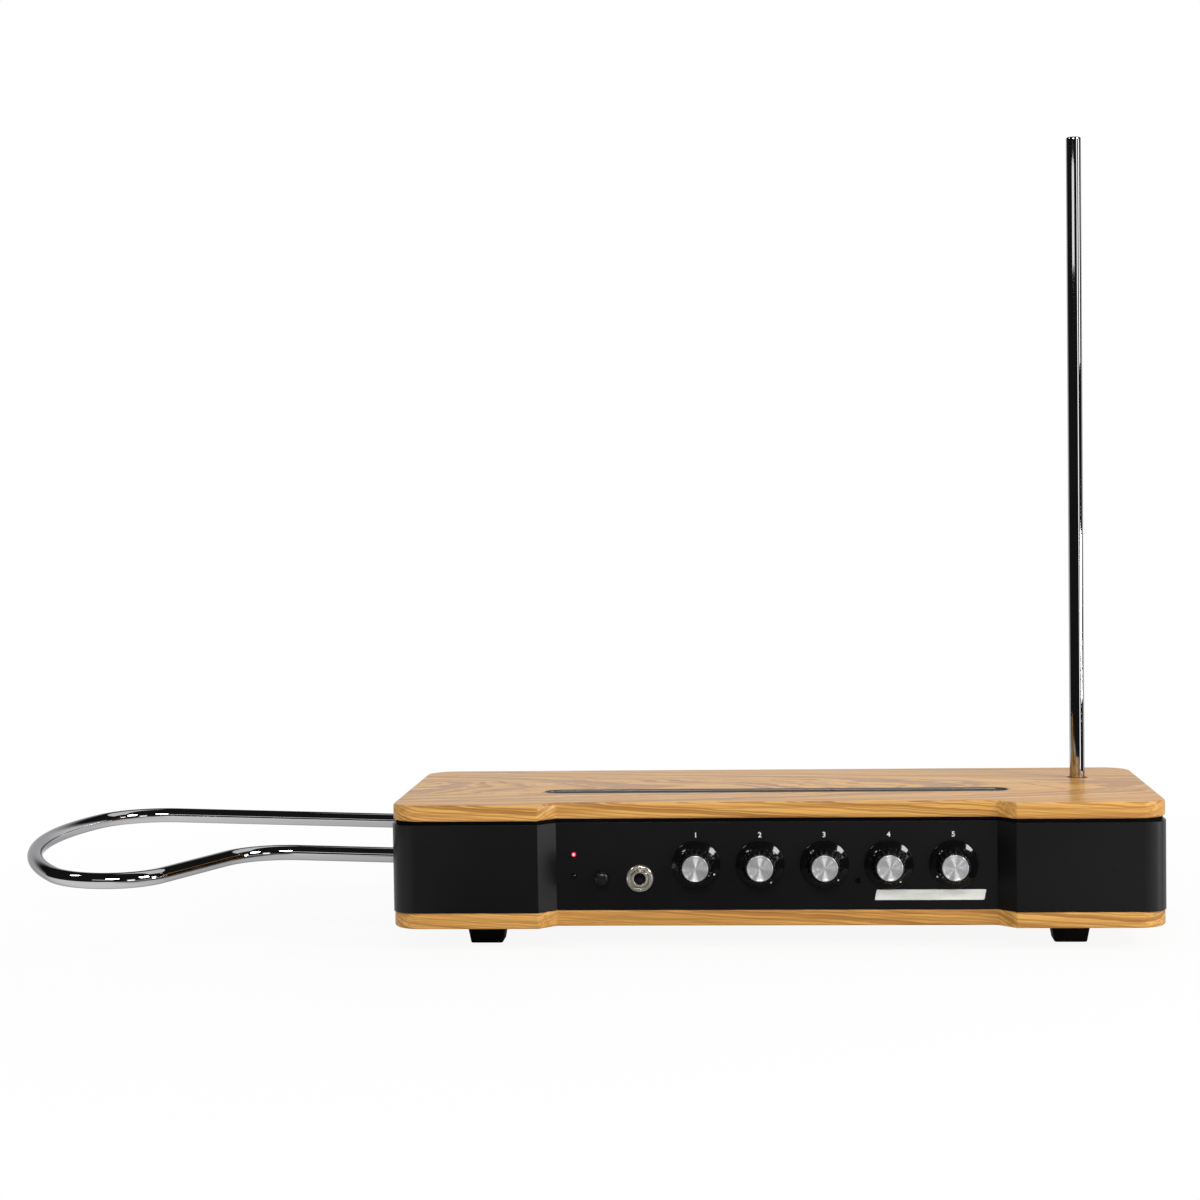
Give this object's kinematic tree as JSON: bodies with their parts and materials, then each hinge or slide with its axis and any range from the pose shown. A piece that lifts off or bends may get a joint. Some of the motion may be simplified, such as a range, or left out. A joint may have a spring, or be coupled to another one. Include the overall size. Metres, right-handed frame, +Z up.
{
  "type": "theremin",
  "caption": "Theremin: wooden case with a black recessed control panel, upright pitch rod, horizontal volume loop, turning dials, push button and rocker.",
  "frame": {"origin": "on the axis of the stand socket, in the plane of the base panel's underside, midway between the case's sides and between its front and back", "axes": "+X to the player's right along the case, +Y from the control panel to the back, +Z up along the pitch antenna"},
  "size_m": [0.7019, 0.2683, 0.5025],
  "materials": {
    "wood": "light open-grained wood, satin lacquer",
    "black_paint": "fine black powder coat",
    "gasket": "matte black foam rubber",
    "dark_tray": "matte black moulded plastic",
    "plate_metal": "plain satin plate",
    "foot_rubber": "black moulded rubber",
    "screw_steel": "zinc-plated steel",
    "black_screw": "black oxide steel",
    "socket_iron": "black painted casting",
    "post_metal": "turned aluminium",
    "board": "green circuit board with solder mask",
    "brass": "turned brass",
    "coil_wire": "lacquered copper winding",
    "can_metal": "drawn aluminium can",
    "chip_plastic": "black chip package",
    "capacitor_sleeve": "shrunk blue sleeve",
    "control_metal": "stamped steel control body",
    "nickel": "nickel-plated brass",
    "jack_plastic": "black moulded plastic",
    "lamp_on": "clear red lens, lit",
    "lamp_off": "dark red lens, unlit",
    "switch_plastic": "black moulded plastic",
    "copper_wire": "tinned copper wire",
    "chrome_rod": "polished chrome-plated tube",
    "button_plastic": "black moulded plastic, satin",
    "dial_plastic": "black phenolic, glossy",
    "dial_cap_metal": "spun aluminium",
    "shaft_metal": "turned shaft"
  },
  "bodies": {
    "case": {"top_panel": "wood", "base_panel": "wood", "body_shell": "black_paint", "back_panel": "black_paint", "top_gasket": "gasket", "top_tray": "dark_tray", "blank_plate": "plate_metal", "feet": "foot_rubber", "foot_screws": "screw_steel", "stand_socket": "socket_iron", "stand_screws": "screw_steel", "corner_posts": "post_metal", "case_bolts": "screw_steel", "panel_screws": "black_screw", "main_board": "board", "board_standoffs": "brass", "board_screws": "screw_steel", "pitch_coils": "coil_wire", "volume_coils": "coil_wire", "tuning_cans": "can_metal", "board_chips": "chip_plastic", "capacitors": "capacitor_sleeve", "control_1": "control_metal", "control_2": "control_metal", "control_3": "control_metal", "control_4": "control_metal", "control_5": "control_metal", "control_nuts": "nickel", "phones_jack": "jack_plastic", "phones_nut": "nickel", "mute_switch": "jack_plastic", "power_lamp": "lamp_on", "mute_lamp": "lamp_off", "power_inlet": "jack_plastic", "sound_socket": "jack_plastic", "control_sockets": "jack_plastic", "socket_nuts": "nickel", "switch_frame": "switch_plastic", "pitch_socket": "brass", "volume_sockets": "brass", "antenna_leads": "copper_wire"},
    "pitch_rod": {"pitch_antenna": "chrome_rod"},
    "volume_loop": {"volume_antenna": "chrome_rod"},
    "mute_push": {"mute_button": "button_plastic"},
    "power_tip": {"power_rocker": "switch_plastic"},
    "knob_1": {"dial_1": "dial_plastic", "dial_cap_1": "dial_cap_metal", "shaft_1": "shaft_metal"},
    "knob_2": {"dial_2": "dial_plastic", "dial_cap_2": "dial_cap_metal", "shaft_2": "shaft_metal"},
    "knob_3": {"dial_3": "dial_plastic", "dial_cap_3": "dial_cap_metal", "shaft_3": "shaft_metal"},
    "knob_4": {"dial_4": "dial_plastic", "dial_cap_4": "dial_cap_metal", "shaft_4": "shaft_metal"},
    "knob_5": {"dial_5": "dial_plastic", "dial_cap_5": "dial_cap_metal", "shaft_5": "shaft_metal"}
  },
  "joints": [
    {"name": "pitch_lift", "type": "slide", "parent": "case", "child": "pitch_rod", "axis": [0, 0, 1], "range_m": [0, 0.045]},
    {"name": "volume_pull", "type": "slide", "parent": "case", "child": "volume_loop", "axis": [-0.9996, 0, 0.0297], "range_m": [0, 0.04]},
    {"name": "mute_press", "type": "slide", "parent": "case", "child": "mute_push", "axis": [0, 1, 0], "range_m": [0, 0.002], "stiffness_N_per_m": 500, "springref_m": -0.001},
    {"name": "power_switch", "type": "hinge", "parent": "case", "child": "power_tip", "pos_m": [0.125, 0.089, 0.036], "axis": [1, 0, 0], "range_deg": [0, 16]},
    {"name": "dial_turn_1", "type": "hinge", "parent": "case", "child": "knob_1", "pos_m": [-0.0484, -0.0805, 0.0375], "axis": [0, 1, 0], "range_deg": [-266, 34]},
    {"name": "dial_turn_2", "type": "hinge", "parent": "case", "child": "knob_2", "pos_m": [-0.0094, -0.0805, 0.0375], "axis": [0, 1, 0], "range_deg": [-298, 2]},
    {"name": "dial_turn_3", "type": "hinge", "parent": "case", "child": "knob_3", "pos_m": [0.0296, -0.0805, 0.0375], "axis": [0, 1, 0], "range_deg": [-288, 12]},
    {"name": "dial_turn_4", "type": "hinge", "parent": "case", "child": "knob_4", "pos_m": [0.0686, -0.0805, 0.0375], "axis": [0, 1, 0], "range_deg": [-296.5, 3.5]},
    {"name": "dial_turn_5", "type": "hinge", "parent": "case", "child": "knob_5", "pos_m": [0.1076, -0.0805, 0.0375], "axis": [0, 1, 0], "range_deg": [-24.3, 275.7]}
  ]
}
